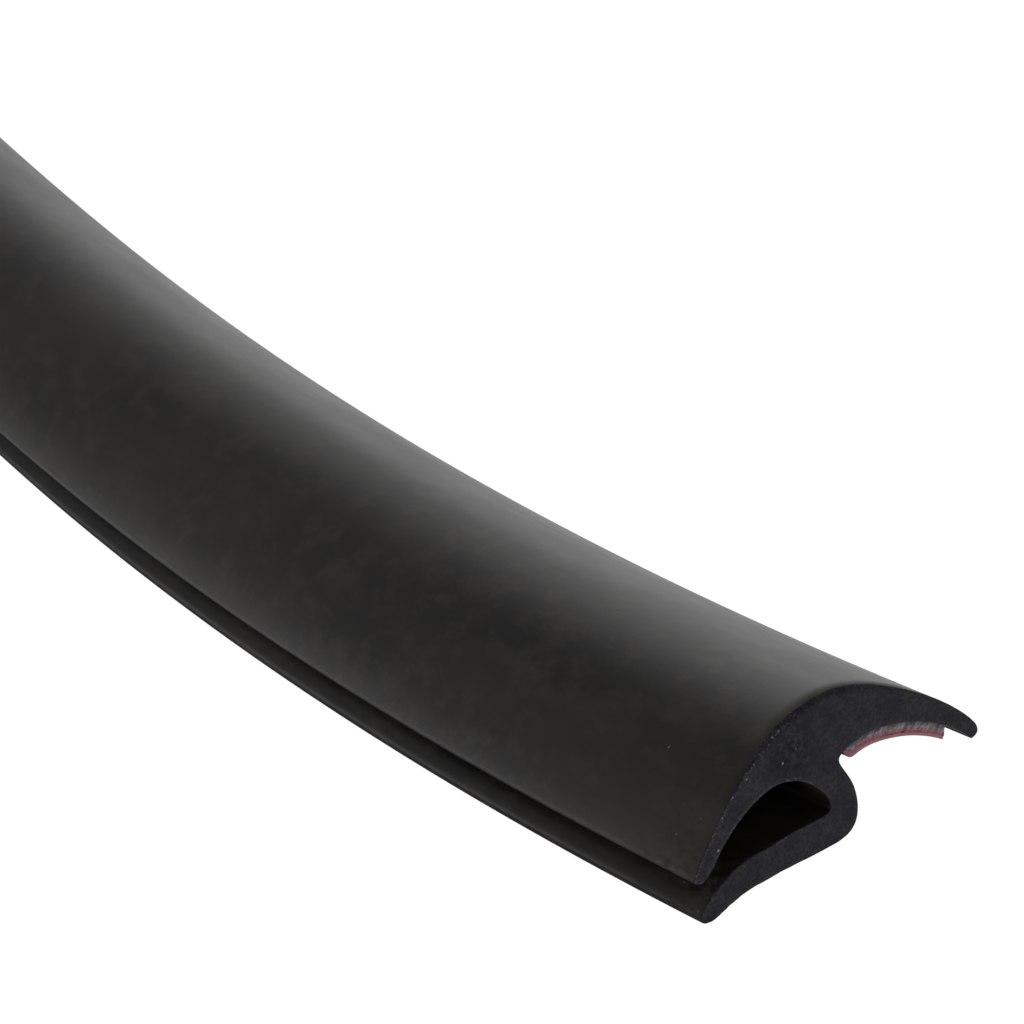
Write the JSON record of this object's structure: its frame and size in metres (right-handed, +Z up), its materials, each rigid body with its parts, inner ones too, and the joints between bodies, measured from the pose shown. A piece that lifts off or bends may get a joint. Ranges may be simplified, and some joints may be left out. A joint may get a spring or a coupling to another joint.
{
  "type": "edge trim seal",
  "caption": "Extruded rubber edge trim seal: arched cover over a hooked lip, with foam mounting tape and release film under one wing.",
  "frame": {"origin": "centre of the part's box in plan, on the floor that the hook lies on", "axes": "+X along the straight run, with the bent free end at -X; +Y towards the wing over the hollow, -Y towards the taped wing; +Z up, from the hook to the crown"},
  "size_m": [1.001, 0.0484, 0.0119],
  "materials": {
    "rubber": "black extruded rubber, satin on its outside, matt where it was cut",
    "foam": "grey closed-cell foam, matt, cut edges fuzzy",
    "film": "red release film, satin"
  },
  "bodies": {
    "root": {"rubber_profile": "rubber", "foam_tape": "foam", "release_film": "film"}
  },
  "joints": []
}
